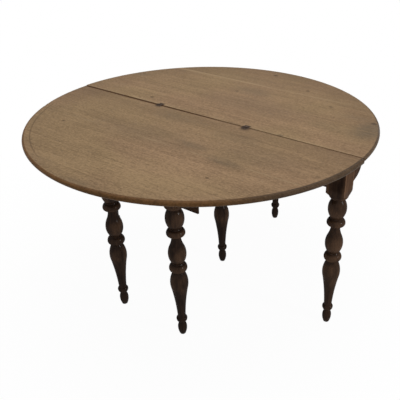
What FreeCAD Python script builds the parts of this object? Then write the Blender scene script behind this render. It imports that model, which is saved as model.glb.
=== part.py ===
"""Extending table: a round top in two halves on six turned legs.

The far half is fixed on a half-round frame with three legs. The near half is a flap that folds up and
over it on two butt hinges. Opened out, the flap rests on a frame with three more legs, which pulls out
of the fixed frame on runners.

Millimetres. X runs along the seam between the halves, +Y towards the fixed half and +Z up. The origin
is on the floor under the centre of the round top, with the table opened out.
"""
import FreeCAD
import Part
import Sketcher
import math
import os
import re

doc = FreeCAD.newDocument("ExtendingTable")

# Driving sizes
SIZES = {
    # round top: edge-glued boards, cut to a circle with a rounded rim
    "top_radius": 662,
    "top_thickness": 17,
    "rim_round": 8,
    "seam_gap": 3,
    "half_shift": 2.5,
    "seam_corner_round": 12,
    "flap_joint_shift": 51,
    "board_dowel_dia": 7,
    "board_dowel_length": 60,
    "inner_dowel_pitch": 380,
    "outer_dowel_pitch": 220,
    # turned legs: heights of the mouldings from the foot up, and their diameters
    "block_width": 69,
    "block_height": 127,
    "foot_tip_dia": 22,
    "foot_rise": 32,
    "foot_bulb_dia": 35,
    "foot_neck_rise": 23,
    "foot_neck_dia": 23.8,
    "fillet_rise": 3,
    "ankle_rise": 17,
    "ankle_dia": 41.6,
    "ankle_fall": 10,
    "shin_dia": 30.4,
    "shin_rise": 7,
    "taper_rise": 128,
    "taper_hollow_radius": 900,
    "shoulder_dia": 59.5,
    "shoulder_rise": 27,
    "baluster_dia": 66.8,
    "baluster_fall": 49,
    "bead_neck_dia": 41,
    "bead_seat_dia": 44.8,
    "lower_bead_rise": 14.5,
    "lower_bead_dia": 66.2,
    "lower_bead_fall": 19,
    "vase_rise": 39,
    "vase_dia": 66,
    "vase_shoulder": 34,
    "vase_throat": 39.5,
    "vase_neck_dia": 33.2,
    "upper_bead_rise": 10.5,
    "upper_bead_dia": 67.5,
    "upper_bead_fall": 17.5,
    "ball_neck_dia": 42,
    "ball_rise": 39,
    "ball_dia": 67.5,
    "ball_fall": 37,
    "collar_dia": 44.5,
    "cove_rise": 15,
    "cove_dia": 70,
    "ledge_rise": 12,
    # where the legs stand
    "corner_leg_proud": 9,
    "back_leg_rebate": 8,
    "front_leg_x": 156,
    "rear_leg_y": 95,
    # half-round frame
    "top_overhang": 54,
    "apron_thickness": 26,
    "apron_rise": 17,
    "back_rail_thickness": 38,
    "back_rail_setback": 5,
    "opening_clearance": 4,
    "tenon_thickness": 12,
    "tenon_length": 25,
    "tenon_shoulder": 15,
    "tenon_root": 10,
    "joint_clearance": 0.15,
    "tenon_end_gap": 0.5,
    "peg_dia": 8,
    "peg_length": 40,
    "peg_pitch": 40,
    "peg_clearance": 0.05,
    "back_peg_spread": 32,
    "back_peg_sink": 0.5,
    "guide_thickness": 32,
    "guide_depth": 66,
    "guide_tenon_length": 15,
    "curve_clearance": 0.1,
    "stop_rail_length": 400,
    "stop_rail_depth": 50,
    "stop_clearance": 0.3,
    "glue_block_length": 70,
    "glue_block_size": 30,
    "glue_block_front_deg": 20,
    "glue_block_back_deg": 76,
    # wood screws that hold the fixed half down, driven from below
    "wood_screw_dia": 4,
    "wood_screw_head_dia": 8,
    "wood_screw_length": 40,
    "wood_screw_bite": 12,
    "wood_screw_clearance": 0.1,
    "guide_screw_margin": 62,
    "stop_screw_pitch": 150,
    # pull-out frame
    "slide_clearance": 0.3,
    "runner_side_clearance": 0.5,
    "front_rail_setback": 252,
    "front_rail_length": 578,
    "front_rail_thickness": 30,
    "front_rail_rise": 10,
    "front_rail_nose": 6,
    "runner_thickness": 28,
    "runner_depth": 50,
    "runner_drop": 11,
    "tongue_depth": 10,
    "tongue_height": 16,
    "tongue_gap": 4,
    "runner_overrun": 8,
    "rear_rail_thickness": 28,
    "slide_tenon_length": 20,
    "slide_tenon_shoulder": 10,
    "runner_tenon_length": 14,
    "slide_peg_length": 50,
    # butt hinges let into the top across the seam
    "hinge_left_x": 224.5,
    "hinge_right_x": 192,
    "hinge_length": 25,
    "leaf_reach": 17,
    "leaf_thickness": 1.6,
    "leaf_clearance": 0.1,
    "knuckle_dia": 6,
    "knuckle_gap": 0.3,
    "knuckle_clearance": 0.4,
    "hinge_lift": 0.15,
    "pin_dia": 2.4,
    "pin_clearance": 0.05,
    "hinge_screw_dia": 2.4,
    "hinge_screw_head_dia": 4.8,
    "hinge_screw_length": 12,
    "hinge_screw_pitch": 13,
    "hinge_screw_inset": 5,
    "hinge_screw_clearance": 0.05,
    "screw_slot_width": 0.7,
    "screw_slot_depth": 0.6,
}

sheet = doc.addObject("Spreadsheet::Sheet", "Sizes")
for row, (alias, number) in enumerate(SIZES.items(), start=1):
    sheet.set(f"A{row}", alias)
    sheet.set(f"B{row}", str(number))
    sheet.setAlias(f"B{row}", alias)
doc.recompute()

# The leg's outline from the foot up: the rise to each point, the diameter there and the curve on the way.
# to_level is an arc that arrives upright, from_level one that sets out upright.
TURNING = [
    ("foot_rise", "foot_bulb_dia", "to_level"),
    ("foot_neck_rise", "foot_neck_dia", "from_level"),
    ("fillet_rise", "foot_neck_dia", "line"),
    ("ankle_rise", "ankle_dia", "to_level"),
    ("ankle_fall", "shin_dia", "from_level"),
    ("shin_rise", "shin_dia", "line"),
    ("taper_rise", "shoulder_dia", "hollow"),
    ("shoulder_rise", "baluster_dia", "to_level"),
    ("baluster_fall", "bead_neck_dia", "from_level"),
    ("fillet_rise", "bead_seat_dia", "line"),
    ("lower_bead_rise", "lower_bead_dia", "to_level"),
    ("lower_bead_fall", "bead_seat_dia", "from_level"),
    ("fillet_rise", "bead_neck_dia", "line"),
    ("vase_rise", "vase_dia", "to_level"),
    ("vase_shoulder", "vase_turn_dia", "from_level"),
    ("vase_throat", "vase_neck_dia", "to_level"),
    ("fillet_rise", "bead_seat_dia", "line"),
    ("upper_bead_rise", "upper_bead_dia", "to_level"),
    ("upper_bead_fall", "bead_seat_dia", "from_level"),
    ("fillet_rise", "ball_neck_dia", "line"),
    ("ball_rise", "ball_dia", "to_level"),
    ("ball_fall", "collar_dia", "from_level"),
    ("fillet_rise", "collar_dia", "line"),
    ("cove_rise", "cove_dia", "to_level"),
    ("ledge_rise", "blank_corner_dia", "line"),
]

# Sizes that follow from the driving ones
RULES = {
    # legs
    "vase_turn_dia": "vase_dia - (vase_dia - vase_neck_dia) * vase_shoulder / (vase_shoulder + vase_throat)",
    "blank_corner_dia": "block_width * sqrt(2) + fillet_rise",
    "half_block": "block_width / 2",
    "block_bottom": " + ".join(rise for rise, dia, curve in TURNING),
    # top
    "underside": "block_bottom + block_height",
    "top_face": "underside + top_thickness",
    "half_gap": "seam_gap / 2",
    "board_middle": "underside + top_thickness / 2",
    # three like boards make the fixed half; the flap has a wide board at the seam and two like ones beyond,
    # with the joint between them a little nearer the seam than half the radius
    "fixed_first_joint": "top_radius / 3",
    "fixed_second_joint": "top_radius * 2 / 3",
    "flap_first_joint": "top_radius / 2 - flap_joint_shift",
    "flap_second_joint": "(flap_first_joint + top_radius) / 2",
    # half-round frame
    "apron_radius": "top_radius - top_overhang",
    "apron_bottom": "block_bottom + apron_rise",
    "apron_inside": "apron_radius - apron_thickness",
    "apron_middle": "apron_radius - apron_thickness / 2",
    "frame_tenon_low": "apron_bottom + tenon_shoulder",
    "frame_tenon_high": "underside - tenon_shoulder",
    "frame_peg_low": "(apron_bottom + underside - peg_pitch) / 2",
    "back_rail_front": "back_rail_setback - half_block",
    "back_rail_back": "back_rail_front + back_rail_thickness",
    "back_rail_middle": "back_rail_front + back_rail_thickness / 2",
    "opening_half": "front_rail_length / 2 + opening_clearance",
    "corner_leg_x": "apron_radius + corner_leg_proud - half_block",
    "corner_inner_face": "corner_leg_x - half_block",
    "corner_outer_face": "corner_leg_x + half_block",
    "back_leg_y": "apron_inside + back_leg_rebate - half_block",
    "glue_block_radius": "apron_inside - glue_block_size / 2",
    "glue_block_front_turn": "glue_block_front_deg * 1deg",
    "glue_block_side_turn": "(glue_block_front_turn + acos(guide_outside / apron_inside)) / 2",
    "glue_block_back_turn": "glue_block_back_deg * 1deg",
    # pull-out frame
    "slide_top": "underside - slide_clearance",
    "front_rail_bottom": "block_bottom + front_rail_rise",
    "front_leg_reach": "top_radius - front_rail_setback - half_block",
    "front_rail_front": "-front_leg_reach - half_block",
    "front_rail_back": "front_rail_front + front_rail_thickness",
    "front_peg_low": "(front_rail_bottom + slide_top - peg_pitch) / 2",
    "runner_outside": "front_rail_length / 2",
    "runner_inside": "runner_outside - runner_thickness",
    "runner_middle": "runner_outside - runner_thickness / 2",
    "runner_top": "underside - runner_drop",
    "runner_bottom": "runner_top - runner_depth",
    "runner_level": "runner_top - runner_depth / 2",
    "runner_end": "rear_rail_back + runner_overrun",
    "slide_tenon_low": "runner_bottom + slide_tenon_shoulder",
    "slide_tenon_high": "runner_top - slide_tenon_shoulder",
    "rear_rail_front": "rear_leg_y - rear_rail_thickness / 2",
    "rear_rail_back": "rear_leg_y + rear_rail_thickness / 2",
    "guide_inside": "runner_outside + runner_side_clearance",
    "guide_outside": "guide_inside + guide_thickness",
    "guide_middle": "guide_inside + guide_thickness / 2",
    "guide_bottom": "underside - guide_depth",
    "groove_start": "back_rail_back + tenon_root",
    "guide_end": "sqrt(apron_inside * apron_inside - guide_outside * guide_outside)",
    "guide_screw_first": "back_rail_back + guide_screw_margin",
    "guide_screw_pitch": "(guide_end - guide_screw_margin - guide_screw_first) / 2",
    # the stop rail fills the run between the closed front legs and the opened rear leg
    "stop_front": "half_block + stop_clearance",
    "stop_back": "rear_leg_y - half_block - stop_clearance",
    "stop_middle": "(stop_front + stop_back) / 2",
    "stop_bottom": "underside - stop_rail_depth",
    # hinges
    "hinge_axis": "top_face + hinge_lift",
    "leaf_root": "knuckle_dia / 2 + knuckle_clearance",
    "leaf_bottom": "top_face - leaf_thickness",
    "knuckle_length": "(hinge_length - 2 * knuckle_gap) / 3",
    "hinge_screw_y": "leaf_reach - hinge_screw_inset",
    "countersink": "(hinge_screw_head_dia - hinge_screw_dia) / 2",
}


def rule(text):
    """The formula with each name in it turned into a reference to the sheet."""
    def expand(match):
        word = match.group(0)
        if word in RULES:
            return "(" + rule(RULES[word]) + ")"
        return "Sizes." + word if word in SIZES else word
    return re.sub(r"[A-Za-z_]\w*", expand, text)


def value(text):
    """The formula's number."""
    number = sheet.evalExpression(rule(text))
    return float(getattr(number, "Value", number))


def bind(thing, prop, text):
    thing.setExpression(prop, rule(text))


def place(thing, x, y, z):
    for letter, text in zip("xyz", (x, y, z)):
        bind(thing, f"Placement.Base.{letter}", text)


def side(sign, low, high):
    """A span of the right-hand side, or the same span mirrored to the left."""
    return (low, high) if sign > 0 else (f"-({high})", f"-({low})")


def signed(sign, text):
    return text if sign > 0 else f"-({text})"


def box(name, x, y, z):
    """A box between the low and high formulas of each axis."""
    made = doc.addObject("Part::Box", name)
    for prop, (low, high) in zip(("Length", "Width", "Height"), (x, y, z)):
        bind(made, prop, f"({high}) - ({low})")
    place(made, x[0], y[0], z[0])
    return made


TURN_TO_AXIS = {
    "x": FreeCAD.Rotation(FreeCAD.Vector(0, 1, 0), 90),
    "y": FreeCAD.Rotation(FreeCAD.Vector(1, 0, 0), -90),
    "z": FreeCAD.Rotation(),
}


def rod(name, dia, axis, start, length):
    """A round rod along an axis, from its low end."""
    made = doc.addObject("Part::Cylinder", name)
    bind(made, "Radius", f"({dia}) / 2")
    bind(made, "Height", length)
    made.Placement = FreeCAD.Placement(FreeCAD.Vector(), TURN_TO_AXIS[axis])
    place(made, *start)
    return made


def cone(name, low_dia, high_dia, start, height):
    """An upright cone."""
    made = doc.addObject("Part::Cone", name)
    bind(made, "Radius1", f"({low_dia}) / 2")
    bind(made, "Radius2", f"({high_dia}) / 2")
    bind(made, "Height", height)
    place(made, *start)
    return made


def join(name, parts):
    made = doc.addObject("Part::MultiFuse", name)
    made.Shapes = parts
    return made


def cut(name, base, tools):
    made = doc.addObject("Part::Cut", name)
    made.Base = base
    made.Tool = tools[0] if len(tools) == 1 else join(name + "_tools", tools)
    return made


def overlap(name, first, second):
    made = doc.addObject("Part::Common", name)
    made.Base = first
    made.Tool = second
    return made


pieces = []


def piece(made, label):
    """Names a finished piece of the table."""
    made.Label = label
    pieces.append(made)
    return made


def group(label, parts):
    """Like fasteners that share one name."""
    made = doc.addObject("Part::Compound", label + "_group")
    made.Links = parts
    return piece(made, label)


def arc_between(start, end, centre):
    """The shorter arc about the centre, and which of its ends is the start."""
    radius = math.dist(start, centre)
    angles = [math.atan2(spot[1] - centre[1], spot[0] - centre[0]) for spot in (start, end)]
    forward = (angles[1] - angles[0]) % (2 * math.pi) < math.pi
    first, last = angles if forward else reversed(angles)
    if last < first:
        last += 2 * math.pi
    circle = Part.Circle(FreeCAD.Vector(*centre, 0), FreeCAD.Vector(0, 0, 1), radius)
    return Part.ArcOfCircle(circle, first, last), (1, 2) if forward else (2, 1)


def level_centre(level, other):
    """Centre of the arc that is upright at the first spot and passes through the second."""
    run = level[0] - other[0]
    drop = level[1] - other[1]
    return level[0] - (run * run + drop * drop) / (2 * run), level[1]


def hollow_centre(start, end, radius):
    """Centre of the arc that bends in between two spots of an outline."""
    chord = math.dist(start, end)
    offset = math.sqrt(radius * radius - chord * chord / 4)
    away = ((end[1] - start[1]) / chord, (start[0] - end[0]) / chord)
    return tuple((a + b) / 2 + offset * c for a, b, c in zip(start, end, away))


def outline(body, name, points, curves):
    """A closed outline on the body's XZ plane: points as formulas, and the curve that follows each."""
    sketch = body.newObject("Sketcher::SketchObject", name)
    plane = next(item for item in body.Origin.OriginFeatures if item.Role == "XZ_Plane")
    sketch.AttachmentSupport = [(plane, "")]
    sketch.MapMode = "FlatFace"
    spots = [(value(x), value(z)) for x, z in points]
    ends = []
    for index, curve in enumerate(curves):
        start = spots[index]
        end = spots[(index + 1) % len(spots)]
        if curve == "line":
            shape = Part.LineSegment(FreeCAD.Vector(*start, 0), FreeCAD.Vector(*end, 0))
            ends.append((1, 2))
        else:
            if curve == "hollow":
                centre = hollow_centre(start, end, value("taper_hollow_radius"))
            elif curve == "to_level":
                centre = level_centre(end, start)
            else:
                centre = level_centre(start, end)
            shape, order = arc_between(start, end, centre)
            ends.append(order)
        sketch.addGeometry(shape, False)
    for index, curve in enumerate(curves):
        following = (index + 1) % len(curves)
        joint = (index, ends[index][1], following, ends[following][0])
        sketch.addConstraint(Sketcher.Constraint("Coincident", *joint))
        if curve == "hollow":
            number = sketch.addConstraint(Sketcher.Constraint("Radius", index, value("taper_hollow_radius")))
            bind(sketch, f"Constraints[{number}]", "taper_hollow_radius")
        elif curve != "line":
            upright_end = ends[index][1 if curve == "to_level" else 0]
            sketch.addConstraint(Sketcher.Constraint("Horizontal", index, 3, index, upright_end))
    axes = (("DistanceX", -2), ("DistanceY", -1))
    for index, (texts, spot) in enumerate(zip(points, spots)):
        corner = (index, ends[index][0])
        for (kind, axis), text, number in zip(axes, texts, spot):
            if text == "0":
                sketch.addConstraint(Sketcher.Constraint("PointOnObject", *corner, axis))
                continue
            added = sketch.addConstraint(Sketcher.Constraint(kind, -1, 1, *corner, number))
            bind(sketch, f"Constraints[{added}]", text)
    return sketch


def tenon(name, x, y, z, axis, tip):
    """A tenon and the mortise that it enters with clearance. tip is the sign of its end along the axis."""
    spans = {"x": x, "y": y, "z": z}
    made = box(name, x, y, z)
    room = {}
    for letter, (low, high) in spans.items():
        if letter != axis:
            room[letter] = (f"{low} - joint_clearance", f"{high} + joint_clearance")
        elif tip > 0:
            room[letter] = (low, f"{high} + tenon_end_gap")
        else:
            room[letter] = (f"{low} - tenon_end_gap", high)
    return made, box(name + "_mortise", room["x"], room["y"], room["z"])


def peg(name, axis, start, length, tip):
    """A wooden peg and the hole that it is driven into. tip is the sign of its inner end."""
    made = rod(name, "peg_dia", axis, start, length)
    low = list(start)
    place_in_start = "xyz".index(axis)
    if tip < 0:
        low[place_in_start] = f"{start[place_in_start]} - tenon_end_gap"
    hole = rod(name + "_hole", "peg_dia + 2 * peg_clearance", axis, low, f"{length} + tenon_end_gap")
    return made, hole


def wood_screw(name, x, y, head):
    """A screw driven up into the fixed top, with its head at a height, and the hole for it."""
    taper = "(wood_screw_head_dia - wood_screw_dia) / 2"
    shank_length = f"underside + wood_screw_bite - ({head})"
    parts = [
        rod(name + "_shank", "wood_screw_dia", "z", (x, y, head), shank_length),
        cone(name + "_head", "wood_screw_head_dia", "wood_screw_dia", (x, y, head), taper),
    ]
    slack = "2 * wood_screw_clearance"
    low = f"{head} - underside"
    holes = [
        rod(name + "_pilot", f"wood_screw_dia + {slack}", "z", (x, y, head),
            f"{shank_length} + tenon_end_gap"),
        cone(name + "_sink", f"wood_screw_head_dia + {slack}", f"wood_screw_dia + {slack}", (x, y, head),
             taper),
        rod(name + "_bore", f"wood_screw_head_dia + {slack}", "z", (x, y, low), "underside"),
    ]
    return join(name, parts), join(name + "_holes", holes)


# Half-round top blanks
RIM = [
    ("0", "underside"),
    ("top_radius - (top_thickness - rim_round)", "underside"),
    ("top_radius", "top_face - rim_round"),
    ("top_radius - rim_round", "top_face"),
    ("0", "top_face"),
]
RIM_CURVES = ["line", "to_level", "from_level", "line", "line"]


def seam_shift(far):
    """How far a half sits along the seam: the halves do not quite line up."""
    return signed(-far, "half_shift")


def half_top(name, far):
    """Half of the round top as one slab, turned about its own middle."""
    body = doc.addObject("PartDesign::Body", name)
    sketch = outline(body, name + "_rim", RIM, RIM_CURVES)
    slab = body.newObject("PartDesign::Revolution", name + "_slab")
    slab.Profile = sketch
    slab.ReferenceAxis = (sketch, ["V_Axis"])
    slab.Angle = 180
    slab.Reversed = far < 0
    place(body, seam_shift(far), "0", "0")
    return body


def seam_corner(name, sign, far):
    """What is worn off a half's corner, where the rim meets the seam."""
    inner = "top_radius - seam_corner_round"
    shift = seam_shift(far)
    x = [f"{edge} + {shift}" for edge in side(sign, inner, "top_radius + seam_corner_round")]
    y = side(far, "0", "half_gap + seam_corner_round")
    z = ("underside - top_thickness", "top_face + top_thickness")
    start = (f"{signed(sign, inner)} + {shift}", signed(far, "half_gap + seam_corner_round"), z[0])
    post = rod(name + "_post", "2 * seam_corner_round", "z", start, f"{z[1]} - ({z[0]})")
    return cut(name, box(name + "_block", x, y, z), [post])


# Legs
def turned_leg(name, x, y, length):
    """A square blank stood at its place, with everything below its block turned to the outline."""
    body = doc.addObject("PartDesign::Body", name)
    blank = body.newObject("PartDesign::AdditiveBox", name + "_blank")
    for prop, text in (("Length", "block_width"), ("Width", "block_width"), ("Height", length)):
        bind(blank, prop, text)
    place(blank, "-half_block", "-half_block", "0")
    points = [("foot_tip_dia / 2", "0")]
    height = []
    for rise, dia, curve in TURNING:
        height.append(rise)
        points.append((f"{dia} / 2", " + ".join(height)))
    curves = [curve for rise, dia, curve in TURNING] + ["line", "line", "line"]
    points += [("block_width", "block_bottom"), ("block_width", "0")]
    groove = body.newObject("PartDesign::Groove", name + "_turning")
    groove.Profile = outline(body, name + "_outline", points, curves)
    groove.ReferenceAxis = (groove.Profile[0], ["V_Axis"])
    groove.Angle = 360
    body.Tip = groove
    place(body, x, y, "0")
    return body


# Half-round frame: two curved aprons, two back rails and two guides between three legs
frame_tenon_z = ("frame_tenon_low", "frame_tenon_high")
frame_peg_z = ("frame_peg_low", "frame_peg_low + peg_pitch")
apron_z = ("apron_bottom", "underside")
frame_pegs = []
screw_holes = []
corner_cuts = {1: [], -1: []}
back_leg_cuts = []

apron_depth = "underside - apron_bottom"
ring_outside = rod("apron_outside", "2 * apron_radius", "z", ("0", "0", "apron_bottom"), apron_depth)
ring_inside = rod("apron_hollow", "2 * apron_inside", "z", ("0", "0", "apron_bottom"), apron_depth)
ring = cut("apron_ring", ring_outside, [ring_inside])
reach = rod("apron_reach", "2 * (apron_inside - curve_clearance)", "z", ("0", "0", "apron_bottom"),
            apron_depth)

for sign, hand in ((1, "right"), (-1, "left")):
    # curved apron, tenoned into a corner leg and pegged to the back leg
    quarter = box(f"apron_quarter_{hand}", side(sign, "0", "top_radius"), ("half_block", "top_radius"),
                  apron_z)
    curved = overlap(f"apron_curve_{hand}", ring, quarter)
    tenon_side = ("apron_middle - tenon_thickness / 2", "apron_middle + tenon_thickness / 2")
    tenon_run = ("half_block - tenon_length", "half_block + tenon_root")
    corner_tenon, corner_mortise = tenon(f"apron_corner_tenon_{hand}", side(sign, *tenon_side), tenon_run,
                                         frame_tenon_z, "y", -1)
    corner_cuts[sign].append(corner_mortise)

    # back rail, tenoned into the corner leg
    rail_y = ("back_rail_front", "back_rail_back")
    rail = box(f"back_rail_board_{hand}", side(sign, "opening_half", "corner_inner_face"), rail_y,
               apron_z)
    rail_tenon, rail_mortise = tenon(
        f"back_rail_tenon_{hand}",
        side(sign, "corner_inner_face - tenon_root", "corner_inner_face + tenon_length"),
        ("back_rail_middle - tenon_thickness / 2", "back_rail_middle + tenon_thickness / 2"),
        frame_tenon_z, "x", sign)
    corner_cuts[sign].append(rail_mortise)

    # pegs through the tenons, and through the apron into the back leg
    apron_holes = []
    rail_holes = []
    for level, height in zip(("low", "high"), frame_peg_z):
        tenon_middle = "half_block - tenon_length / 2"
        outer_start = side(sign, "corner_outer_face - peg_length", "corner_outer_face")[0]
        made, hole = peg(f"corner_peg_{hand}_{level}", "x", (outer_start, tenon_middle, height), "peg_length",
                         -sign)
        frame_pegs.append(made)
        apron_holes.append(hole)
        corner_cuts[sign].append(hole)
        spot = (signed(sign, "back_peg_spread / 2"), "apron_radius - back_peg_sink - peg_length", height)
        made, hole = peg(f"back_peg_{hand}_{level}", "y", spot, "peg_length", -1)
        frame_pegs.append(made)
        apron_holes.append(hole)
        back_leg_cuts.append(hole)
        spot = (signed(sign, "corner_inner_face + tenon_length / 2"), "-half_block", height)
        made, hole = peg(f"rail_peg_{hand}_{level}", "y", spot, "peg_length", 1)
        frame_pegs.append(made)
        rail_holes.append(hole)
        corner_cuts[sign].append(hole)

    apron = join(f"apron_with_tenon_{hand}", [curved, corner_tenon])
    piece(cut(f"apron_{hand}", apron, apron_holes), f"curved_apron_{hand}")

    # guide for the runner: a grooved rail from the back rail to the apron
    guide_blank = box(f"guide_blank_{hand}", side(sign, "guide_inside", "guide_outside"),
                      ("back_rail_back", "apron_radius"), ("guide_bottom", "underside"))
    guide_shaped = overlap(f"guide_shaped_{hand}", guide_blank, reach)
    guide_tenon, guide_mortise = tenon(
        f"guide_tenon_{hand}",
        side(sign, "guide_middle - tenon_thickness / 2", "guide_middle + tenon_thickness / 2"),
        ("back_rail_back - guide_tenon_length", "back_rail_back + tenon_root"),
        ("guide_bottom + tenon_shoulder", "underside - tenon_shoulder"), "y", -1)
    groove_room = ("guide_inside - tongue_depth", "guide_inside + tongue_depth + runner_side_clearance")
    groove = box(f"guide_groove_{hand}", side(sign, *groove_room), ("groove_start", "apron_radius"),
                 ("runner_level - tongue_height / 2 - slide_clearance",
                  "runner_level + tongue_height / 2 + slide_clearance"))
    guide_holes = []
    guide_screws = []
    for count in range(3):
        made, hole = wood_screw(f"guide_screw_{hand}_{count}", signed(sign, "guide_middle"),
                                f"guide_screw_first + {count} * guide_screw_pitch",
                                "underside + wood_screw_bite - wood_screw_length")
        guide_screws.append(made)
        guide_holes.append(hole)
    screw_holes += guide_holes
    guide = join(f"guide_with_tenon_{hand}", [guide_shaped, guide_tenon])
    piece(cut(f"guide_{hand}", guide, [groove] + guide_holes), f"guide_rail_{hand}")
    group(f"guide_screws_{hand}", guide_screws)
    back_rail = join(f"back_rail_with_tenon_{hand}", [rail, rail_tenon])
    piece(cut(f"back_rail_cut_{hand}", back_rail, [guide_mortise] + rail_holes), f"back_rail_{hand}")

    # corner leg
    blank = turned_leg(f"corner_leg_turned_{hand}", signed(sign, "corner_leg_x"), "0", "underside")
    piece(cut(f"corner_leg_cut_{hand}", blank, corner_cuts[sign]), f"corner_leg_{hand}")

# back leg, with its block rebated to the inside of the aprons where they meet
rebate_room = box("back_leg_rebate_room", ("-block_width", "block_width"), ("back_leg_y", "top_radius"),
                  apron_z)
back_leg_cuts.append(cut("back_leg_rebated", rebate_room, [reach]))
back_blank = turned_leg("back_leg_turned", "0", "back_leg_y", "underside")
piece(cut("back_leg_cut", back_blank, back_leg_cuts), "back_leg")
group("frame_pegs", frame_pegs)

# Stop rail under the fixed half, between the closed front legs and the opened rear leg
stop_blank = box("stop_blank", ("-stop_rail_length / 2", "stop_rail_length / 2"),
                 ("stop_front", "stop_back"), ("stop_bottom", "underside"))
stop_screws = []
stop_holes = []
for count in (-1, 0, 1):
    made, hole = wood_screw(f"stop_screw_{count + 1}", f"{count} * stop_screw_pitch", "stop_middle",
                            "underside + wood_screw_bite - wood_screw_length")
    stop_screws.append(made)
    stop_holes.append(hole)
screw_holes += stop_holes
piece(cut("stop_rail_cut", stop_blank, stop_holes), "stop_rail")
group("stop_rail_screws", stop_screws)

# Glue blocks in the angle between the aprons and the fixed half, each with a screw
block_screws = []
for sign, hand in ((1, "right"), (-1, "left")):
    for spot in ("front", "side", "back"):
        name = f"glue_block_{spot}_{hand}"
        turn = f"glue_block_{spot}_turn"
        centre_x = signed(sign, f"glue_block_radius * cos({turn})")
        centre_y = f"glue_block_radius * sin({turn})"
        blank = doc.addObject("Part::Box", name + "_blank")
        bind(blank, "Length", "2 * glue_block_size")
        bind(blank, "Width", "glue_block_length")
        bind(blank, "Height", "glue_block_size")
        blank.Placement = FreeCAD.Placement(FreeCAD.Vector(), FreeCAD.Rotation(FreeCAD.Vector(0, 0, 1), 1))
        bind(blank, "Placement.Rotation.Angle", turn if sign > 0 else f"180deg - {turn}")
        out_x = signed(sign, f"cos({turn})")
        near = "(apron_inside - glue_block_size)"
        half = "glue_block_length / 2"
        place(blank, f"{near} * {out_x} + {half} * sin({turn})",
              f"{near} * sin({turn}) - {half} * {out_x}", "underside - glue_block_size")
        made, hole = wood_screw(f"{name}_screw", centre_x, centre_y,
                                "underside + wood_screw_bite - wood_screw_length")
        block_screws.append(made)
        screw_holes.append(hole)
        piece(cut(f"{name}_cut", overlap(f"{name}_shaped", blank, reach), [hole]), name)
group("glue_block_screws", block_screws)

# Pull-out frame: front rail on two legs, two runners and two rear rails on a third leg
front_z = ("front_rail_bottom", "slide_top")
slide_tenon_z = ("slide_tenon_low", "slide_tenon_high")
runner_z = ("runner_bottom", "runner_top")
rear_rail_y = ("rear_rail_front", "rear_rail_back")
slide_pegs = []
front_cuts = []
rear_leg_cuts = []

for sign, hand in ((1, "right"), (-1, "left")):
    # front leg, halved round the rail and pegged to it
    front_leg_x = signed(sign, "front_leg_x")
    leg_cuts = [box(f"front_leg_halving_{hand}",
                    (f"{front_leg_x} - block_width", f"{front_leg_x} + block_width"),
                    ("front_rail_front - half_block", "front_rail_back"), ("front_rail_bottom", "underside"))]
    for level, height in zip(("low", "high"), ("front_peg_low", "front_peg_low + peg_pitch")):
        made, hole = peg(f"front_peg_{hand}_{level}", "y", (front_leg_x, "front_rail_front", height),
                         "slide_peg_length", 1)
        slide_pegs.append(made)
        front_cuts.append(hole)
        leg_cuts.append(hole)
    blank = turned_leg(f"front_leg_turned_{hand}", front_leg_x, "-front_leg_reach", "slide_top")
    piece(cut(f"front_leg_cut_{hand}", blank, leg_cuts), f"front_leg_{hand}")

    # runner with its tongue, tenoned into the front rail
    runner_blank = box(f"runner_blank_{hand}", side(sign, "runner_inside", "runner_outside"),
                       ("front_rail_back", "runner_end"), runner_z)
    tongue = box(f"runner_tongue_{hand}", side(sign, "runner_middle", "runner_outside + tongue_depth"),
                 ("groove_start + tongue_gap", "runner_end"),
                 ("runner_level - tongue_height / 2", "runner_level + tongue_height / 2"))
    front_tenon, front_mortise = tenon(
        f"runner_tenon_{hand}",
        side(sign, "runner_middle - tenon_thickness / 2", "runner_middle + tenon_thickness / 2"),
        ("front_rail_back - slide_tenon_length", "front_rail_back + tenon_root"), slide_tenon_z, "y", -1)
    front_cuts.append(front_mortise)

    # rear rail, tenoned into the rear leg and the runner
    rear_blank = box(f"rear_rail_blank_{hand}", side(sign, "half_block", "runner_inside"), rear_rail_y,
                     runner_z)
    tenon_y = ("rear_leg_y - tenon_thickness / 2", "rear_leg_y + tenon_thickness / 2")
    leg_tenon, leg_mortise = tenon(f"rear_leg_tenon_{hand}",
                                   side(sign, "half_block - slide_tenon_length", "half_block + tenon_root"),
                                   tenon_y, slide_tenon_z, "x", -sign)
    runner_tenon, runner_mortise = tenon(f"rear_rail_tenon_{hand}",
                                         side(sign, "runner_inside - tenon_root",
                                              "runner_inside + runner_tenon_length"),
                                         tenon_y, slide_tenon_z, "x", sign)
    spot = (signed(sign, "half_block - slide_tenon_length / 2"), "rear_leg_y - half_block", "runner_level")
    made, hole = peg(f"rear_peg_{hand}", "y", spot, "slide_peg_length", 1)
    slide_pegs.append(made)
    rear_leg_cuts += [leg_mortise, hole]
    rear_rail = join(f"rear_rail_with_tenons_{hand}", [rear_blank, leg_tenon, runner_tenon])
    piece(cut(f"rear_rail_cut_{hand}", rear_rail, [hole]), f"rear_rail_{hand}")
    runner = join(f"runner_with_tongue_{hand}", [runner_blank, tongue, front_tenon])
    piece(cut(f"runner_cut_{hand}", runner, [runner_mortise]), f"runner_{hand}")

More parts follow.
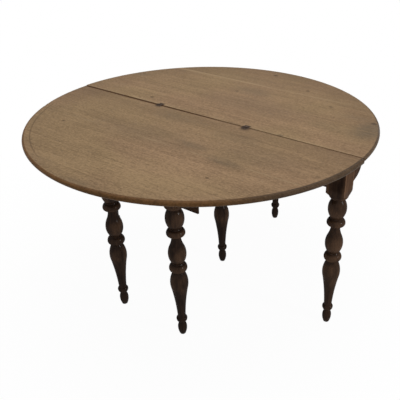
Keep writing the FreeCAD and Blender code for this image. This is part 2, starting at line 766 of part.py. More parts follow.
# the rail's ends are bevelled behind, below the runners, to lead it into the fixed frame
for sign, hand in ((1, "right"), (-1, "left")):
    bevel = doc.addObject("Part::Box", f"front_rail_bevel_{hand}")
    bind(bevel, "Length", "2 * front_rail_thickness")
    bind(bevel, "Width", "2 * front_rail_thickness")
    bind(bevel, "Height", "runner_bottom - front_rail_bottom - front_rail_nose")
    bevel.Placement = FreeCAD.Placement(FreeCAD.Vector(), FreeCAD.Rotation(FreeCAD.Vector(0, 0, 1), 45))
    place(bevel, signed(sign, "front_rail_length / 2"), "front_rail_front + front_rail_nose",
          "front_rail_bottom")
    front_cuts.append(bevel)
front_blank = box("front_rail_blank", ("-front_rail_length / 2", "front_rail_length / 2"),
                  ("front_rail_front", "front_rail_back"), front_z)
piece(cut("front_rail_cut", front_blank, front_cuts), "front_rail")
rear_blank = turned_leg("rear_leg_turned", "0", "rear_leg_y", "slide_top")
piece(cut("rear_leg_cut", rear_blank, rear_leg_cuts), "rear_leg")
group("slide_pegs", slide_pegs)

# Butt hinges across the seam: the fixed leaf has the outer knuckles and the flap leaf the middle one
top_cuts = {1: list(screw_holes), -1: []}
hinge_screws = {1: [], -1: []}
HALVES = {1: "fixed", -1: "flap"}
for hand, middle in (("left", "-hinge_left_x"), ("right", "hinge_right_x")):
    low_end = f"{middle} - hinge_length / 2"
    high_end = f"{middle} + hinge_length / 2"
    knuckle_starts = [f"{low_end} + {count} * (knuckle_length + knuckle_gap)" for count in range(3)]
    knuckles = [(start, f"{start} + knuckle_length") for start in knuckle_starts]
    bore = rod(f"hinge_bore_{hand}", "pin_dia + 2 * pin_clearance", "x", (low_end, "0", "hinge_axis"),
               "hinge_length")
    for far, half in HALVES.items():
        name = f"hinge_{half}_leaf_{hand}"
        parts = [box(name + "_plate", (low_end, high_end), side(far, "leaf_root", "leaf_reach"),
                     ("leaf_bottom", "top_face"))]
        for count in ((0, 2) if far > 0 else (1,)):
            low, high = knuckles[count]
            parts.append(box(f"{name}_neck_{count}", (low, high),
                             side(far, "0", "leaf_root + leaf_clearance"), ("leaf_bottom", "top_face")))
            parts.append(rod(f"{name}_knuckle_{count}", "knuckle_dia", "x", (low, "0", "hinge_axis"),
                             "knuckle_length"))
        leaf_cuts = [bore]

        # pocket for the leaf and its knuckles in the top
        pocket_x = (f"{low_end} - leaf_clearance", f"{high_end} + leaf_clearance")
        top_cuts[far] += [
            box(name + "_pocket", pocket_x, side(far, "0", "leaf_reach + leaf_clearance"),
                ("leaf_bottom - leaf_clearance", "top_face + top_thickness")),
            rod(name + "_scoop", "knuckle_dia + 2 * knuckle_clearance", "x",
                (pocket_x[0], "0", "hinge_axis"), "hinge_length + 2 * leaf_clearance"),
        ]

        # countersunk screws
        for count in (-1, 1):
            screw = f"{name}_screw_{count + 1}"
            x = f"{middle} + {count} * hinge_screw_pitch / 2"
            y = signed(far, "hinge_screw_y")
            low = "top_face - hinge_screw_length"
            slack = "2 * hinge_screw_clearance"
            shank = rod(screw + "_shank", "hinge_screw_dia", "z", (x, y, low),
                        "hinge_screw_length - countersink")
            head = cone(screw + "_head", "hinge_screw_dia", "hinge_screw_head_dia",
                        (x, y, "top_face - countersink"), "countersink")
            slot = box(screw + "_slot", (f"{x} - screw_slot_width / 2", f"{x} + screw_slot_width / 2"),
                       (f"{y} - hinge_screw_head_dia", f"{y} + hinge_screw_head_dia"),
                       ("top_face - screw_slot_depth", "top_face + screw_slot_depth"))
            hinge_screws[far].append(cut(screw, join(screw + "_blank", [shank, head]), [slot]))
            hole = rod(screw + "_hole", f"hinge_screw_dia + {slack}", "z", (x, y, f"{low} - leaf_clearance"),
                       "hinge_screw_length")
            sink = cone(screw + "_sink", f"hinge_screw_dia + {slack}", f"hinge_screw_head_dia + {slack}",
                        (x, y, "top_face - countersink"), "countersink")
            leaf_cuts += [hole, sink]
            top_cuts[far].append(hole)
        piece(cut(name, join(name + "_blank", parts), leaf_cuts), name)
    piece(rod(f"hinge_pin_{hand}_rod", "pin_dia", "x", (low_end, "0", "hinge_axis"), "hinge_length"),
          f"hinge_pin_{hand}")
for far, half in HALVES.items():
    group(f"hinge_screws_{half}", hinge_screws[far])

# Boards of each half, edge to edge, with dowels in the joints
for far, half in HALVES.items():
    joints = [f"{half}_first_joint", f"{half}_second_joint"]
    dowels = []
    for joint, pitch in zip(joints, ("inner_dowel_pitch", "outer_dowel_pitch")):
        for count in (-1, 0, 1):
            name = f"{joint}_dowel_{count + 1}"
            x = f"{count} * {pitch}"
            low = side(far, f"{joint} - board_dowel_length / 2", f"{joint} + board_dowel_length / 2")[0]
            dowels.append(rod(name, "board_dowel_dia", "y", (x, low, "board_middle"), "board_dowel_length"))
            top_cuts[far].append(rod(name + "_hole", "board_dowel_dia + 2 * peg_clearance", "y",
                                     (x, f"{low} - tenon_end_gap", "board_middle"),
                                     "board_dowel_length + 2 * tenon_end_gap"))
    for sign in (1, -1):
        top_cuts[far].append(seam_corner(f"{half}_corner_{sign + 1}", sign, far))
    slab = cut(f"{half}_slab_cut", half_top(f"{half}_half", far), top_cuts[far])
    edges = ["half_gap"] + joints + ["top_radius + rim_round"]
    for count in range(3):
        name = f"{half}_board_{count + 1}"
        room = box(f"{name}_room", ("-top_radius - rim_round", "top_radius + rim_round"),
                   side(far, edges[count], edges[count + 1]),
                   ("underside - top_thickness", "top_face + top_thickness"))
        piece(overlap(f"{name}_cut", slab, room), name)
    group(f"{half}_dowels", dowels)

doc.recompute()

for made in doc.Objects:
    if "Invalid" in made.State or "Error" in made.State:
        raise RuntimeError(f"{made.Name} did not build: {made.State}")
for made in pieces:
    if made.Shape.isNull() or not made.Shape.isValid():
        raise RuntimeError(f"{made.Label} has no valid shape")

os.makedirs("parts", exist_ok=True)
for made in pieces:
    solids = made.Shape.Solids
    shape = solids[0] if len(solids) == 1 else Part.makeCompound(solids)
    shape.exportStep(f"parts/{made.Label}.step")
    print(made.Label, len(solids), "solid" if len(solids) == 1 else "solids", round(shape.Volume))
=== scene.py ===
import math
import bpy
from mathutils import Matrix, Vector


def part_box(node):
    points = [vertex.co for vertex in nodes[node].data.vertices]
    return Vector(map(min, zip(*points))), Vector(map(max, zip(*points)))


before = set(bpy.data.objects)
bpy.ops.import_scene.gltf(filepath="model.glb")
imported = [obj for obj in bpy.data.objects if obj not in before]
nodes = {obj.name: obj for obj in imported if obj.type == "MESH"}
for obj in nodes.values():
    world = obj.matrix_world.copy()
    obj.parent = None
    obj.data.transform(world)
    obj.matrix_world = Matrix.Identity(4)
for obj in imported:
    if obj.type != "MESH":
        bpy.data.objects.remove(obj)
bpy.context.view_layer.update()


# Turned legs
# Each is one square length of oak, turned on a lathe below its block, stained nearly black and polished.
# Rubbing has browned the swellings and the block's arrises, and the hollows keep the dirt; the swellings and
# arrises are also lightened as a painted highlight.
class Field:
    """A shader socket that sums can be written with, and the way to every other node."""

    def __init__(self, tree, socket=None):
        self.tree = tree
        self.socket = socket

    def node(self, kind, settings=None, sockets=None, output=0):
        made = self.tree.nodes.new("ShaderNode" + kind)
        for name, value in (settings or {}).items():
            setattr(made, name, value)
        for name, value in (sockets or {}).items():
            self.link(made.inputs[name], value)
        return Field(self.tree, made.outputs[output])

    def link(self, target, value):
        if isinstance(value, Field):
            self.tree.links.new(value.socket, target)
        elif target.type == "RGBA":
            target.default_value = (*value, 1)
        else:
            target.default_value = value

    def math(self, operation, *others):
        return self.node("Math", {"operation": operation}, dict(enumerate((self, *others))))

    def __add__(self, other):
        return self.math("ADD", other)

    __radd__ = __add__

    def __sub__(self, other):
        return self.math("SUBTRACT", other)

    def __rsub__(self, other):
        return self.node("Math", {"operation": "SUBTRACT"}, {0: other, 1: self})

    def __mul__(self, other):
        return self.math("MULTIPLY", other)

    __rmul__ = __mul__

    def clamped(self):
        return self.math("MAXIMUM", 0.0).math("MINIMUM", 1.0)

    def rise(self, low, high):
        """0 below low, 1 above high, and a smooth step between."""
        return self.node("MapRange", {"interpolation_type": "SMOOTHSTEP"},
                         {"Value": self, "From Min": low, "From Max": high})

    def fall(self, low, high):
        return 1 - self.rise(low, high)

    def axes(self):
        return [self.node("SeparateXYZ", None, {"Vector": self}, index) for index in range(3)]

    def stretched(self, x, y, z, shift=None):
        scaled = self.node("VectorMath", {"operation": "MULTIPLY"}, {0: self, 1: (x, y, z)})
        if shift is None:
            return scaled
        return scaled.node("VectorMath", {"operation": "ADD"}, {0: scaled, 1: shift})

    def noise(self, detail, roughness=0.55):
        return self.node("TexNoise", None,
                         {"Vector": self, "Scale": 1.0, "Detail": detail, "Roughness": roughness})

    def blend(self, first, second):
        """A colour that goes from the first to the second as this goes from 0 to 1."""
        return self.node("Mix", {"data_type": "RGBA"}, {"Factor": self, "A": first, "B": second}, 2)


def finish(name, paint):
    """A material whose look is written by a function of the piece's own coordinates."""
    made = bpy.data.materials.new(name)
    made.use_nodes = True
    tree = made.node_tree
    shader = tree.nodes["Principled BSDF"]
    start = Field(tree)
    place = start.node("TexCoord", output=3)
    look = paint(place)
    height = look.pop("height")
    look["Normal"] = height.node("Bump", None,
                                 {"Height": height, "Strength": 1.0, "Distance": look.pop("depth")})
    for socket, value in look.items():
        start.link(shader.inputs[socket], value)
    return made


def dress(names, material):
    for name in names:
        for slot in nodes[name].material_slots:
            slot.material = material


DARK_STAIN = (0.0165, 0.0088, 0.006)
BROWN_STAIN = (0.131, 0.071, 0.0395)
PORE_DIRT = (0.007, 0.0045, 0.0035)
SCUFFED_STAIN = (0.07, 0.05, 0.036)
STAINED_PORES = (0.58, 0.72)
LEG_POLISH = 0.1
HOLLOW_RADIUS = 0.0225
SWELLING_RADIUS = 0.0325
ARRIS_WEAR_AND_HIGHLIGHT_FROM_AXIS = (0.0415, 0.0455)
BLOCK_BOTTOM = 0.588
BLOCK_FADE = 0.02
# painted shade on each block, under the overhang of the top
BLOCK_PAINTED_SHADE = 0.13
BLOCK_FACE_SKIN = (0.003, 0.0005)
FOOT_SCUFF_HEIGHT = (0.004, 0.03)
# how brown each leg has become, and how much lighter the right-hand face of its block is, from wear and
# painted light from the right
LEG_WEAR_AND_LIT_FACE = {"front_leg_left": (0.08, 0.1), "front_leg_right": (0.06, 0.1), "rear_leg": (0.05, 0.1),
            "back_leg": (0.05, 0.1), "corner_leg_left": (0.1, 0.1), "corner_leg_right": (0.19, 0.34)}


def leg_paint(leg):
    low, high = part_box(leg)
    middle = (low + high) / 2
    warmth, lit_and_worn_face = LEG_WEAR_AND_LIT_FACE[leg]

    def paint(place):
        x, y, z = place.axes()
        from_axis = ((x - middle.x) * (x - middle.x) + (y - middle.y) * (y - middle.y)).math("SQRT")
        grain = place.stretched(150, 150, 9).noise(detail=4.0)
        worn = place.stretched(24, 24, 11).noise(detail=2.0).rise(0.35, 0.7)
        pores = place.stretched(700, 700, 28).noise(detail=1.0).rise(*STAINED_PORES)
        # swellings and the block's arrises lighter: wear and painted highlight
        rubbed_and_highlit = from_axis.rise(HOLLOW_RADIUS, SWELLING_RADIUS) * worn
        arris_wear_and_highlight = from_axis.rise(*ARRIS_WEAR_AND_HIGHLIGHT_FROM_AXIS)
        block = z.rise(BLOCK_BOTTOM, BLOCK_BOTTOM + BLOCK_FADE)
        block_face = block * x.rise(*(high.x - skin for skin in BLOCK_FACE_SKIN))
        tone = (grain - 0.5) * 0.5 + rubbed_and_highlit * 0.4 + arris_wear_and_highlight * 0.3 + warmth
        # the block darker with painted shade, except its right-hand face, which is lighter with wear and
        # painted light from the right
        tone = (tone - block * BLOCK_PAINTED_SHADE + block_face * (lit_and_worn_face + BLOCK_PAINTED_SHADE)).clamped()
        foot = z.fall(*FOOT_SCUFF_HEIGHT) * worn
        colour = (pores * 0.5).blend(tone.blend(DARK_STAIN, BROWN_STAIN), PORE_DIRT)
        return {"Base Color": (foot * 0.4).blend(colour, SCUFFED_STAIN), "Specular IOR Level": 0.0,
                "Roughness": 0.5 + pores * 0.2 + foot * 0.2,
                "Coat Weight": LEG_POLISH * (1 - block * 0.7), "Coat Roughness": 0.16,
                "height": grain * 0.6 - pores * 0.5, "depth": 0.0003}
    return paint


for leg in LEG_WEAR_AND_LIT_FACE:
    dress([leg], finish(leg + "_stain", leg_paint(leg)))


# Half-round frame
# Two curved aprons sawn from thick oak and two straight back rails, stained like the legs and held by
# oak pegs. The front rail of the pull-out frame is finished the same way.
RAIL_POLISH = 0.04
APRON_GRAIN_RADIUS = 0.6
RAIL_LIT_AND_WORN_END = (0.3, 0.55)


def rail_paint(curved):
    def paint(place):
        x, y, z = place.axes()
        if curved:
            from_middle = (x * x + y * y).math("SQRT")
            run = y.math("ARCTAN2", x) * APRON_GRAIN_RADIUS
            place = run.node("CombineXYZ", None, {"X": run, "Y": from_middle, "Z": z})
        grain = place.stretched(7, 150, 150).noise(detail=4.0)
        cloud = place.stretched(5, 14, 14).noise(detail=2.0)
        pores = place.stretched(30, 700, 700).noise(detail=1.0).rise(*STAINED_PORES)
        # lighter towards the right-hand end: wear and painted light from the right
        tone = ((grain - 0.5) * 0.8 + cloud * 0.35 + x.rise(*RAIL_LIT_AND_WORN_END) * 0.15).clamped()
        return {"Base Color": (pores * 0.5).blend(tone.blend(DARK_STAIN, BROWN_STAIN), PORE_DIRT),
                "Specular IOR Level": 0.0, "Roughness": 0.5 + pores * 0.2 - cloud * 0.1,
                "Coat Weight": RAIL_POLISH, "Coat Roughness": 0.4,
                "height": grain * 0.6 - pores * 0.5, "depth": 0.0006}
    return paint


dress(["curved_apron_left", "curved_apron_right"], finish("apron_stain", rail_paint(curved=True)))
dress(["back_rail_left", "back_rail_right", "front_rail"], finish("rail_stain", rail_paint(curved=False)))

PEG_DARK = (0.012, 0.008, 0.006)
PEG_BROWN = (0.05, 0.03, 0.018)


def peg_paint(place):
    rings = place.stretched(500, 500, 500).noise(detail=2.0)
    return {"Base Color": rings.blend(PEG_DARK, PEG_BROWN), "Specular IOR Level": 0.02,
            "Roughness": 0.5 + rings * 0.2, "height": rings, "depth": 0.0003}


dress(["frame_pegs", "slide_pegs"], finish("peg_end_grain", peg_paint))


# Inner frame
# The guides, runners, rear rails, stop rail and glue blocks are plain sawn oak that was never finished.
# Age has turned it a dull brown, and rubbing has polished the runners.
SAWN_DEEP = (0.045, 0.029, 0.018)
SAWN_PALE = (0.19, 0.125, 0.075)
GRAIN_ALONG = 6
GRAIN_ACROSS = 130
GRAIN_SHORT = 40


def sawn_paint(x_grain, y_grain, polish):
    def paint(place):
        grain = place.stretched(x_grain, y_grain, GRAIN_ACROSS).noise(detail=4.0)
        cloud = place.stretched(9, 9, 14).noise(detail=2.0)
        saw = place.stretched(310, 310, 25).noise(detail=1.0)
        tone = (grain * 0.7 + cloud * 0.5 - 0.1).clamped()
        return {"Base Color": tone.blend(SAWN_DEEP, SAWN_PALE), "Specular IOR Level": 0.08,
                "Roughness": 0.78 - polish + saw * 0.15, "height": grain * 0.6 + saw * 0.4, "depth": 0.0008}
    return paint


dress(["guide_rail_left", "guide_rail_right"],
      finish("sawn_guide", sawn_paint(GRAIN_ACROSS, GRAIN_ALONG, polish=0.05)))
dress(["runner_left", "runner_right"],
      finish("rubbed_runner", sawn_paint(GRAIN_ACROSS, GRAIN_ALONG, polish=0.3)))
dress(["rear_rail_left", "rear_rail_right", "stop_rail"],
      finish("sawn_rail", sawn_paint(GRAIN_ALONG, GRAIN_ACROSS, polish=0.05)))
dress([f"glue_block_{spot}_{hand}" for spot in ("front", "side", "back") for hand in ("left", "right")],
      finish("sawn_block", sawn_paint(GRAIN_SHORT, GRAIN_SHORT, polish=0.0)))


# Wood screws
# Plain steel screws, driven up through the guides, the stop rail and the glue blocks to hold the fixed
# half down. They have dulled with age.
DULL_STEEL = (0.045, 0.035, 0.03)
BRIGHT_STEEL = (0.22, 0.2, 0.18)


def screw_paint(place):
    bright = place.stretched(900, 900, 900).noise(detail=2.0)
    return {"Base Color": bright.blend(DULL_STEEL, BRIGHT_STEEL), "Metallic": 0.9,
            "Roughness": 0.35 + bright * 0.35, "height": bright, "depth": 0.0001}


dress(["guide_screws_left", "guide_screws_right", "stop_rail_screws", "glue_block_screws"],
      finish("dull_screw_steel", screw_paint))


# Round top
# Wide oak boards, edge-glued and dowelled, cut to a half circle for each half. The face has been scrubbed
# and worn pale and dry; the rim keeps its old brown polish, and a dark line of dirt and painted shade lies
# along the seam.
top_low, top_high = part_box("fixed_board_1")
TOP_RADIUS = (top_high.x - top_low.x) / 2
UNDERSIDE = top_low.z
FIXED_MIDDLE = (top_low.x + top_high.x) / 2
FLAP_MIDDLE = sum(corner.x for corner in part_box("flap_board_1")) / 2
FIXED_JOINTS = [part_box("fixed_board_1")[1].y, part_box("fixed_board_2")[1].y]
FLAP_JOINTS = [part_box("flap_board_1")[0].y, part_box("flap_board_2")[0].y]

# how far the figure moves on from one board to the next
BOARD_STEP = (3.7, 0.31, 1.3)
# how far the noise pushes the soft edges of stains and areas about
EDGE_WANDER = 0.12

# soft stains, broad greyed and paled areas, the left-hand end browned by hands, and small dark marks:
# place along and across the seam, half length, half width and strength
STAINS = [(-0.004, 0.342, 0.16, 0.075, 0.4), (-0.094, -0.062, 0.17, 0.06, 0.3),
          (0.296, -0.282, 0.1, 0.05, 0.5), (0.13, -0.246, 0.09, 0.03, 0.4),
          (0.586, 0.241, 0.11, 0.14, 0.75), (0.482, 0.313, 0.1, 0.04, 0.3),
          (-0.001, -0.638, 0.08, 0.03, 0.45), (-0.559, 0.267, 0.07, 0.04, 0.35)]
GREYED = [(-0.05, -0.25, 0.38, 0.11, 0.2), (0.38, -0.19, 0.22, 0.11, 0.22), (0.23, -0.1, 0.14, 0.07, 0.2),
          (0.1, 0.2, 0.36, 0.12, 0.22), (-0.2, -0.6, 0.12, 0.05, 0.16), (0.43, 0.18, 0.14, 0.05, 0.14),
          (-0.07, 0.47, 0.28, 0.09, 0.12)]
PALED = [(0.21, -0.48, 0.33, 0.16, 0.32), (0.42, -0.34, 0.15, 0.05, 0.18), (0.56, 0.05, 0.14, 0.05, 0.18),
         (-0.35, 0.16, 0.24, 0.16, 0.1), (0.59, -0.21, 0.1, 0.07, 0.2), (-0.12, -0.53, 0.26, 0.11, 0.18)]
HANDLED_END = [(-0.62, -0.1, 0.17, 0.16, 0.24)]
MARKS = [(-0.045, 0.596, 0.017, 0.013, 0.9), (0.183, 0.488, 0.013, 0.01, 0.8),
         (-0.067, 0.314, 0.011, 0.009, 0.8), (-0.314, 0.049, 0.014, 0.01, 0.8),
         (0.353, 0.368, 0.015, 0.009, 0.7), (0.566, 0.297, 0.018, 0.014, 0.8),
         (0.335, 0.007, 0.02, 0.011, 0.8), (-0.406, -0.335, 0.011, 0.009, 0.7),
         (0.322, -0.399, 0.01, 0.007, 0.8), (0.596, -0.202, 0.014, 0.01, 0.4),
         (-0.222, -0.009, 0.026, 0.024, 0.95), (0.197, -0.012, 0.028, 0.027, 0.95),
         (-0.354, 0.02, 0.009, 0.007, 0.5)]


def strongest(place, spots):
    """The strength of the strongest spot at a place, each falling softly to 0 at its edge."""
    most = None
    for x, y, long, wide, strength in spots:
        away = place.stretched(1 / long, 1 / wide, 0, (-x / long, -y / wide, 0))
        spot = away.node("VectorMath", {"operation": "LENGTH"}, {0: away}, 1).fall(0.2, 1.0) * strength
        most = spot if most is None else most.math("MAXIMUM", spot)
    return most


def line(across, centre, inner, outer):
    """1 within the inner distance of a centre line, falling to 0 at the outer one."""
    return (across - centre).math("ABSOLUTE").fall(inner, outer)


class TopOak:
    """Where a point of the top lies, and the figure and wear of the oak there."""

    def __init__(self, place):
        self.x, self.y, self.z = place.axes()
        fixed = self.y.math("GREATER_THAN", 0.0)
        self.flap = 1 - fixed
        from_middle = self.x - fixed * FIXED_MIDDLE - self.flap * FLAP_MIDDLE
        self.radius = (from_middle * from_middle + self.y * self.y).math("SQRT")

        # each board has its own figure
        board = fixed
        for joint in FIXED_JOINTS + FLAP_JOINTS:
            board = board + self.y.math("GREATER_THAN", joint)
        moved = place.node("CombineXYZ", None,
                           {axis: start + board * step for axis, start, step
                            in zip("XYZ", (self.x, self.y, self.z), BOARD_STEP)})
        self.figure = moved.stretched(1.6, 34, 34).noise(detail=3.0)
        self.grain = moved.stretched(7, 210, 210).noise(detail=4.0, roughness=0.65)
        self.streak = moved.stretched(2.6, 75, 75).noise(detail=2.0, roughness=0.6)
        self.flecks = moved.stretched(115, 150, 150).noise(detail=2.0)
        self.pores = moved.stretched(40, 1100, 1100).noise(detail=1.0).rise(0.6, 0.72)

        # wear takes no notice of the boards
        self.cloud = place.stretched(1.8, 2.6, 2.6).noise(detail=2.0)
        self.blotch = place.stretched(9, 15, 15, (3.1, 7.7, 0.4)).noise(detail=3.0)
        wander = place.node("CombineXYZ", None,
                            {"X": (self.blotch - 0.5) * EDGE_WANDER, "Y": (self.cloud - 0.5) * EDGE_WANDER})
        wandering = place.node("VectorMath", {"operation": "ADD"}, {0: place, 1: wander})
        self.stain = strongest(wandering, STAINS)
        self.greyed = strongest(wandering, GREYED)
        self.mark = strongest(place, MARKS)
        self.handled_end = strongest(place, HANDLED_END)
        self.tone = (0.52 + (self.figure - 0.5) * 0.5 + (self.grain - 0.5) * 1.0 + (self.streak - 0.5) * 0.8
                     + (self.flecks - 0.5) * 1.7 + (self.blotch - 0.5) * 0.45
                     + strongest(wandering, PALED)).clamped()


PALE_PINKISH = (0.3, 0.193, 0.11)
PALE_GREENISH = (0.29, 0.194, 0.104)
DEEP_PINKISH = (0.168, 0.104, 0.0585)
DEEP_GREENISH = (0.161, 0.105, 0.055)
PORE_BROWN = (0.07, 0.042, 0.023)
GREYED_OAK = (0.084, 0.065, 0.0435)
HANDLED_OAK = (0.092, 0.056, 0.034)
HANDLED_RADIUS = (0.47, 0.655)
HANDLED_BEYOND_FRONT = (-0.5, -0.05)
HANDLED_FAR_SIDE = (0.2, 0.5)
GREY_STAIN = (0.095, 0.069, 0.041)
DARK_DIRT = (0.045, 0.028, 0.017)


def scrubbed_face(oak):
    hue = oak.cloud.rise(0.38, 0.62)
    colour = oak.tone.blend(hue.blend(DEEP_PINKISH, DEEP_GREENISH), hue.blend(PALE_PINKISH, PALE_GREENISH))
    colour = (oak.pores * 0.45).blend(colour, PORE_BROWN)
    colour = oak.greyed.blend(colour, GREYED_OAK)

    # hands have browned the edge, most of all at the far side and the left-hand end
    edge = oak.radius.rise(*HANDLED_RADIUS)
    edge = edge * (0.05 + oak.y.rise(*HANDLED_BEYOND_FRONT) * 0.11 + oak.y.rise(*HANDLED_FAR_SIDE) * 0.17)
    colour = edge.math("MAXIMUM", oak.handled_end).blend(colour, HANDLED_OAK)

    colour = (oak.stain * oak.streak.rise(0.25, 0.6)).blend(colour, GREY_STAIN)
    return (oak.mark * oak.flecks.rise(0.2, 0.5)).blend(colour, DARK_DIRT)


RUBBED_PALE = (0.33, 0.235, 0.135)
RUBBED_STREAK = FIXED_JOINTS[1] - 0.006
RUBBED_STREAK_HALF = (0.003, 0.012)
RUBBED_JOINT_HALF = (0.001, 0.004)
OPEN_JOINT_HALF = (0.0004, 0.002)
SCRIBED_RADIUS = 0.634
SCRIBED_HALF = (0.001, 0.0035)
SCRIBED_ENDS_ALONG = (-0.3, -0.15)
SCRIBED_ENDS_ACROSS = (-0.3, -0.2)


def joints_and_scribed_arc(oak, colour):
    for joint in FLAP_JOINTS + FIXED_JOINTS[:1]:
        open_joint = line(oak.y, joint, *OPEN_JOINT_HALF) * oak.blotch.rise(0.4, 0.6)
        colour = (open_joint * 0.5).blend(colour, PORE_BROWN)
    streak = line(oak.y, RUBBED_STREAK, *RUBBED_STREAK_HALF) * oak.figure.rise(0.35, 0.55)
    rubbed_joint = line(oak.y, FLAP_JOINTS[0], *RUBBED_JOINT_HALF) * oak.blotch.rise(0.45, 0.6)
    colour = (streak.math("MAXIMUM", rubbed_joint) * 0.5).blend(colour, RUBBED_PALE)
    scribed = line(oak.radius, SCRIBED_RADIUS, *SCRIBED_HALF) * oak.flap
    scribed = scribed * oak.x.fall(*SCRIBED_ENDS_ALONG) * oak.y.fall(*SCRIBED_ENDS_ACROSS)
    return (scribed * 0.5).blend(colour, PORE_BROWN)


SEAM_GAP_HALF = (0.0015, 0.0021)
LIP_STARTS = (0.002, 0.005)
LIP_ENDS = (0.008, 0.02)
SOILED_ACROSS = (-0.16, -0.01)
SOILED_LEFT_END = (-0.55, -0.3)
# the dark seam line: dirt, and painted shade in and beside the gap
SEAM_DIRT_AND_SHADE = (0.046, 0.0155, 0.002)
SEAM_DARK_MIDDLE = -0.005
SEAM_DARK_HALF = 0.0057
SEAM_DARK_THINNING = 0.005
SEAM_DARK_THINS_ALONG = (-0.4, 0.3)
SEAM_DARK_UNEVEN = 0.003
SEAM_DARK_LEAST = 0.0002


def seam(oak, colour):
    # the fixed half's edge is rubbed pale, and the flap's side is soiled, most of all to the left
    lip = oak.y.rise(*LIP_STARTS) * oak.y.fall(*LIP_ENDS) * oak.blotch.rise(0.35, 0.6)
    colour = (lip * 0.35).blend(colour, RUBBED_PALE)
    soiled = oak.y.rise(*SOILED_ACROSS) * oak.flap * (0.21 + oak.x.fall(*SOILED_LEFT_END) * 0.04)
    colour = soiled.blend(colour, HANDLED_OAK)

    # the dark line, dirt and painted shade, thins out to the right, and fills the gap itself as painted shade
    half = SEAM_DARK_HALF - oak.x.rise(*SEAM_DARK_THINS_ALONG) * SEAM_DARK_THINNING
    half = half + (oak.figure - 0.5) * SEAM_DARK_UNEVEN
    away = (oak.y - SEAM_DARK_MIDDLE).math("ABSOLUTE")
    dirt_and_shade = away.math("DIVIDE", half.math("MAXIMUM", SEAM_DARK_LEAST)).fall(0.7, 1.3)
    # painted shade on the walls of the gap
    dirt_and_shade = dirt_and_shade.math("MAXIMUM", line(oak.y, 0.0, *SEAM_GAP_HALF))
    return (dirt_and_shade * 0.95).blend(colour, SEAM_DIRT_AND_SHADE)


RIM_DEEP = (0.071, 0.033, 0.0092)
RIM_PALE = (0.154, 0.0725, 0.024)
RIM_GREY_DEEP = (0.044, 0.0265, 0.0145)
RIM_GREY_PALE = (0.09, 0.0565, 0.032)
RIM_INNER_EDGE = (0.0095, 0.0065)
RIM_WORN_FURTHER = 0.006
RIM_WORN_ALONG = (-0.1, 0.15)
RIM_FADED_ALONG = (0.4, 0.58)


def polished_rim(oak):
    """How much of a place is rim, and the rim's colour there."""
    worn_round = oak.x.rise(*RIM_WORN_ALONG) * oak.flap
    rim = (oak.radius + worn_round * RIM_WORN_FURTHER).rise(*(TOP_RADIUS - edge for edge in RIM_INNER_EDGE))
    faded = oak.x.rise(*RIM_FADED_ALONG)
    polish = oak.tone.blend(faded.blend(RIM_DEEP, RIM_GREY_DEEP), faded.blend(RIM_PALE, RIM_GREY_PALE))
    return rim, (worn_round * 0.2).blend(polish, PORE_DIRT)


UNDER_DEEP = (0.042, 0.026, 0.016)
UNDER_PALE = (0.165, 0.11, 0.067)
UNDER_GRIME_AND_SHADE = (0.035, 0.022, 0.014)
GRIME_AND_SHADE_FROM_RIM = (0.09, 0.01)
UNDER_JOINT_HALF = (0.0005, 0.0025)
UNDERSIDE_FADE = 0.006


def bare_underside(oak):
    tone = (0.5 + (oak.figure - 0.5) * 1.6 + (oak.streak - 0.5) * 1.2 + (oak.flecks - 0.5) * 0.8
            + (oak.blotch - 0.5) * 0.8).clamped()
    colour = tone.blend(UNDER_DEEP, UNDER_PALE)
    for joint in FLAP_JOINTS + FIXED_JOINTS:
        colour = (line(oak.y, joint, *UNDER_JOINT_HALF) * 0.7).blend(colour, PORE_BROWN)
    # darker near the rim on the underside and the lower rim: grime and painted shade
    grime_and_shade = oak.radius.rise(*(TOP_RADIUS - edge for edge in GRIME_AND_SHADE_FROM_RIM)) * oak.blotch.rise(0.3, 0.6)
    return (grime_and_shade * 0.6).blend(colour, UNDER_GRIME_AND_SHADE)


def top_paint(place):
    oak = TopOak(place)
    face = seam(oak, joints_and_scribed_arc(oak, scrubbed_face(oak)))
    rim, polish = polished_rim(oak)
    colour = (rim * 0.95).blend(face, polish)
    under = oak.z.fall(UNDERSIDE, UNDERSIDE + UNDERSIDE_FADE)
    return {"Base Color": under.blend(colour, bare_underside(oak)), "Specular IOR Level": 0.06,
            "Roughness": 0.66 + (oak.grain - 0.5) * 0.25 - rim * 0.15 - oak.stain * 0.2,
            "height": oak.grain * 0.5 + oak.flecks * 0.4 - oak.pores * 0.6 - oak.mark * 0.8, "depth": 0.0007}


dress([f"{half}_board_{count}" for half in ("fixed", "flap") for count in (1, 2, 3)]
      + ["fixed_dowels", "flap_dowels"], finish("scrubbed_oak", top_paint))


# Butt hinges
# Small forged iron hinges let into the top across the seam, with countersunk screws. They are nearly
# black, with the high spots of the knuckles rubbed bright and lightened as a painted highlight.
IRON_DARK = (0.032, 0.0225, 0.0175)
IRON_RUBBED_AND_HIGHLIT = (0.125, 0.088, 0.067)
TOP_FACE = top_high.z
KNUCKLE_WEAR_AND_HIGHLIGHT_HEIGHT = (0.0012, 0.0027)


def iron_paint(place):
    z = place.axes()[2]
    pitted = place.stretched(420, 420, 420).noise(detail=3.0)
    # the tops of the knuckles lighter: wear and painted highlight
    rubbed_and_highlit = z.rise(*(TOP_FACE + height for height in KNUCKLE_WEAR_AND_HIGHLIGHT_HEIGHT))
    tone = (pitted.rise(0.35, 0.75) * 0.7 + rubbed_and_highlit * 0.35).math("MINIMUM", 1.0)
    return {"Base Color": tone.blend(IRON_DARK, IRON_RUBBED_AND_HIGHLIT), "Specular IOR Level": 0.02,
            "Roughness": 0.66 - rubbed_and_highlit * 0.2, "height": pitted, "depth": 0.0004}


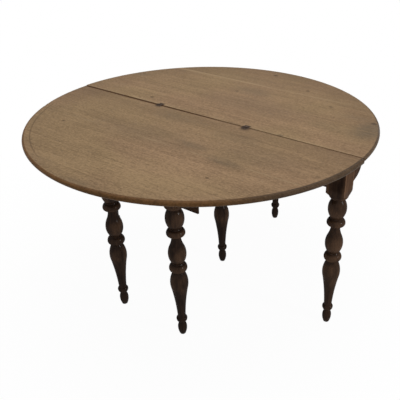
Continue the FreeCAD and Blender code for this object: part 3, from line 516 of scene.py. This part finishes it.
dress([f"hinge_{half}_leaf_{hand}" for half in ("fixed", "flap") for hand in ("left", "right")]
      + ["hinge_pin_left", "hinge_pin_right", "hinge_screws_fixed", "hinge_screws_flap"],
      finish("forged_iron", iron_paint))


# Floor, light and camera
# A plain white floor that keeps a faint shadow, broad soft light from above and from the right, and the
# camera where the photograph was taken from.
FLOOR_HALF = 30.0
FLOOR_CORNERS = [(-FLOOR_HALF, -FLOOR_HALF, 0), (FLOOR_HALF, -FLOOR_HALF, 0),
                 (FLOOR_HALF, FLOOR_HALF, 0), (-FLOOR_HALF, FLOOR_HALF, 0)]
SHADOW_SHARE = 0.035
SHADOW_RADIUS = (0.5, 1.8)
floor_mesh = bpy.data.meshes.new("studio_floor")
floor_mesh.from_pydata(FLOOR_CORNERS, [], [(0, 1, 2, 3)])
floor = bpy.data.objects.new("studio_floor", floor_mesh)
bpy.context.scene.collection.objects.link(floor)


def seen_directly(tree):
    """1 where a camera, mirror or see-through ray meets the studio, so that it looks white to all of them."""
    rays = Field(tree).node("LightPath").socket.node.outputs
    kinds = [Field(tree, rays[kind]) for kind in ("Is Camera Ray", "Is Glossy Ray", "Is Transmission Ray")]
    return sum(kinds).math("MINIMUM", 1.0)


floor_white = bpy.data.materials.new("studio_floor_white")
floor_white.use_nodes = True
tree = floor_white.node_tree
shader = tree.nodes["Principled BSDF"]
shader.inputs["Base Color"].default_value = (0.8, 0.8, 0.8, 1)
shader.inputs["Roughness"].default_value = 0.9
glow = Field(tree).node("Emission", None, {"Color": (1, 1, 1), "Strength": 1.0})
x, y, z = glow.node("TexCoord", output=3).axes()
# less of the floor glows near the table, so it is a little greyer there: painted shade around the table,
# besides its real shadow
from_table = (x * x + y * y).math("SQRT").rise(*SHADOW_RADIUS)
white = seen_directly(tree) * (1 - SHADOW_SHARE + SHADOW_SHARE * from_table)
mixed = white.node("MixShader", None, {"Fac": white, 1: Field(tree, shader.outputs[0]), 2: glow})
tree.links.new(mixed.socket, tree.nodes["Material Output"].inputs["Surface"])
floor_mesh.materials.append(floor_white)

SKY_LEVEL = 0.45
world = bpy.data.worlds.new("studio")
bpy.context.scene.world = world
world.use_nodes = True
tree = world.node_tree
background = tree.nodes["Background"]
background.inputs["Color"].default_value = (1, 1, 1, 1)
Field(tree).link(background.inputs["Strength"], seen_directly(tree) * (1 - SKY_LEVEL) + SKY_LEVEL)


def soft_lamp(name, place, aim, size, watts):
    lamp = bpy.data.lights.new(name, "AREA")
    lamp.shape = "DISK"
    lamp.size = size
    lamp.energy = watts
    made = bpy.data.objects.new(name, lamp)
    made.location = place
    made.rotation_mode = "QUATERNION"
    made.rotation_quaternion = (Vector(aim) - Vector(place)).to_track_quat("-Z", "Y")
    bpy.context.scene.collection.objects.link(made)


soft_lamp("overhead_lamp", place=(0.0, 0.2, 3.8), aim=(0, 0, 0.7), size=3.0, watts=72)
soft_lamp("side_lamp", place=(3.2, 0.3, 1.4), aim=(0.4, 0, 0.45), size=0.7, watts=32)

PHOTO_SIZE = 400
FOCAL_PIXELS = 550.2
MIDDLE_PIXEL = (246.66, 208.71)
CAMERA_PLACE = (1.2506, -1.5574, 1.5026)
CAMERA_YAW = math.radians(-34.062)
CAMERA_PITCH = math.radians(30.682)
CAMERA_ROLL = math.radians(-0.266)
FURTHEST_SEEN = 200.0
lens = bpy.data.cameras.new("photo_camera")
lens.lens = FOCAL_PIXELS / PHOTO_SIZE * lens.sensor_width
lens.shift_x = (PHOTO_SIZE / 2 - MIDDLE_PIXEL[0]) / PHOTO_SIZE
lens.shift_y = (MIDDLE_PIXEL[1] - PHOTO_SIZE / 2) / PHOTO_SIZE
lens.clip_end = FURTHEST_SEEN
camera = bpy.data.objects.new("photo_camera", lens)
turn = (Matrix.Rotation(-CAMERA_YAW, 4, "Z") @ Matrix.Rotation(math.pi / 2 - CAMERA_PITCH, 4, "X")
        @ Matrix.Rotation(-CAMERA_ROLL, 4, "Z"))
camera.matrix_world = Matrix.Translation(CAMERA_PLACE) @ turn
bpy.context.scene.collection.objects.link(camera)
bpy.context.scene.camera = camera
bpy.context.scene.view_settings.view_transform = "Standard"
